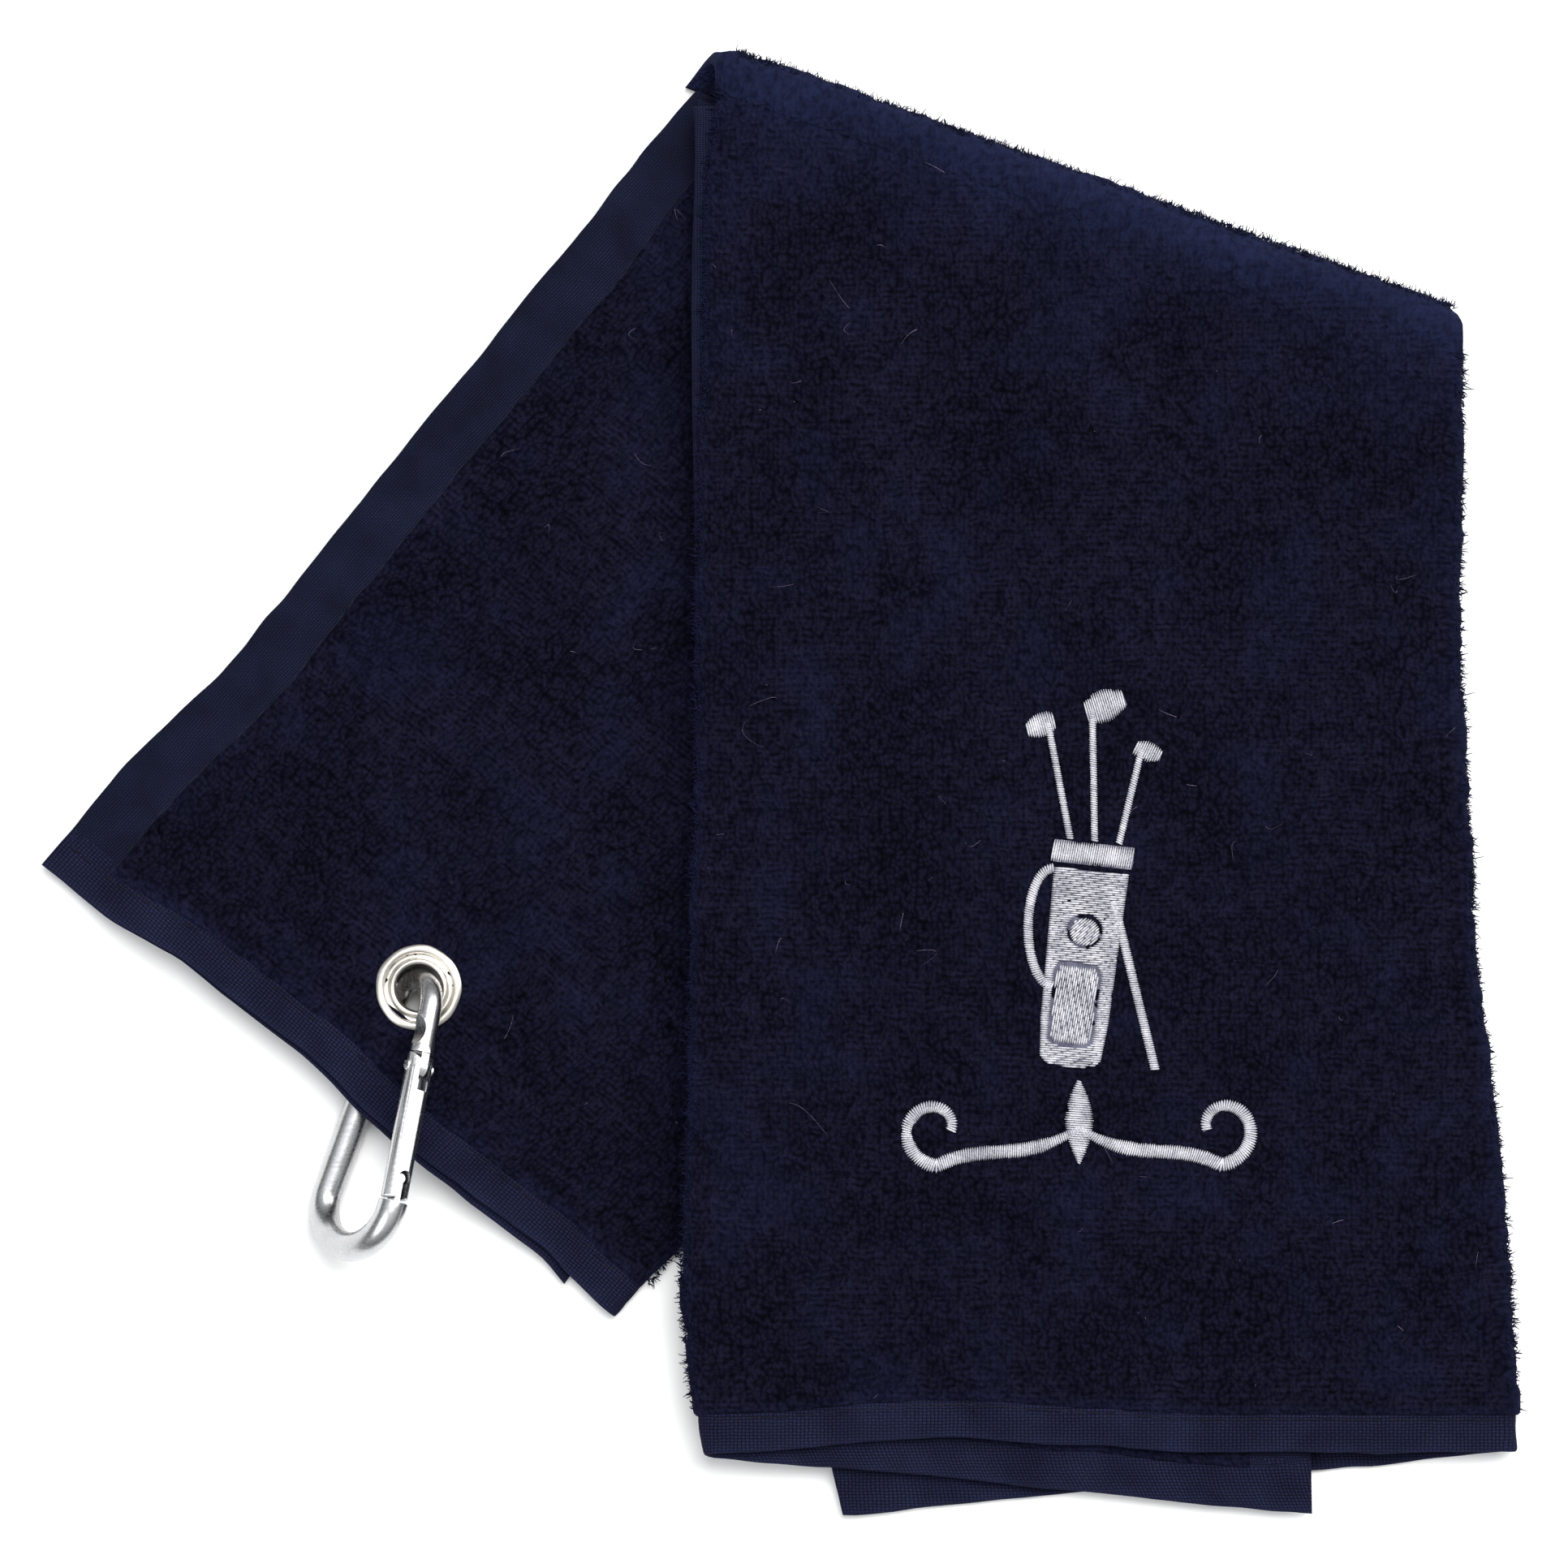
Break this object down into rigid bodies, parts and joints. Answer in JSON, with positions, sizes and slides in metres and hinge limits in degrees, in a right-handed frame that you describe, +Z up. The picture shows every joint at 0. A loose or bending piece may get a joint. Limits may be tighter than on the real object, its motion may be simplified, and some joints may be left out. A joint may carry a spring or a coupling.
{
  "type": "golf towel",
  "caption": "Tri-folded velour golf towel doubled over on a slanting crease, with an embroidered front, a metal grommet and a spring-gate carabiner to hang it from a bag.",
  "frame": {"origin": "middle of the whole folded towel's underside, on the surface it lies on", "axes": "+Z up off the table, -Y towards the embroidered end, +X to the right when the embroidery is read upright"},
  "size_m": [0.2956, 0.2968, 0.0269],
  "materials": {
    "pile_cloth": "cut-pile velour terry, mottled navy",
    "woven_hem": "flat plain weave, navy",
    "hem_thread": "navy sewing thread",
    "embroidery_thread": "glossy white embroidery thread",
    "nickel_plate": "bright nickel plate",
    "polished_steel": "polished, with fine drawing marks",
    "spring_steel": "plain wire"
  },
  "bodies": {
    "rear_half": {"rear_cloth": "pile_cloth", "rear_left_side_hem": "woven_hem", "rear_right_side_hem": "woven_hem", "rear_end_hem": "woven_hem", "rear_end_hem_thread": "hem_thread", "rear_side_hem_thread": "hem_thread", "fold_turn_middle_panel": "pile_cloth", "fold_turn_left_flap": "pile_cloth", "fold_turn_right_flap": "pile_cloth", "grommet_eyelet": "nickel_plate", "grommet_washer": "nickel_plate"},
    "front_half": {"front_cloth": "pile_cloth", "front_left_side_hem": "woven_hem", "front_right_side_hem": "woven_hem", "front_end_hem": "woven_hem", "front_end_hem_thread": "hem_thread", "embroidered_golf_bag": "embroidery_thread", "embroidered_scroll": "embroidery_thread"},
    "carabiner": {"carabiner_frame": "polished_steel", "gate_pin": "polished_steel"},
    "gate": {"carabiner_gate": "polished_steel", "gate_plunger": "spring_steel", "gate_spring": "spring_steel"}
  },
  "joints": [
    {"name": "fold_open", "type": "hinge", "parent": "rear_half", "child": "front_half", "pos_m": [-0.01433, 0.14136, 0.00808], "axis": [-0.9421, 0.3355, 0], "range_deg": [0, 178], "deforming": ["fold_turn_middle_panel", "fold_turn_left_flap", "fold_turn_right_flap"]},
    {"name": "carabiner_swing", "type": "hinge", "parent": "rear_half", "child": "carabiner", "pos_m": [-0.0741, -0.04171, 0.01], "axis": [0, 0, 1], "range_deg": [-66, 18]},
    {"name": "gate_hinge", "type": "hinge", "parent": "carabiner", "child": "gate", "pos_m": [-0.07383, -0.0578, 0.01711], "axis": [0.7835, -0.2791, -0.5552], "range_deg": [0, 18], "stiffness_Nm_per_rad": 0.2, "springref_deg": -17.19}
  ]
}
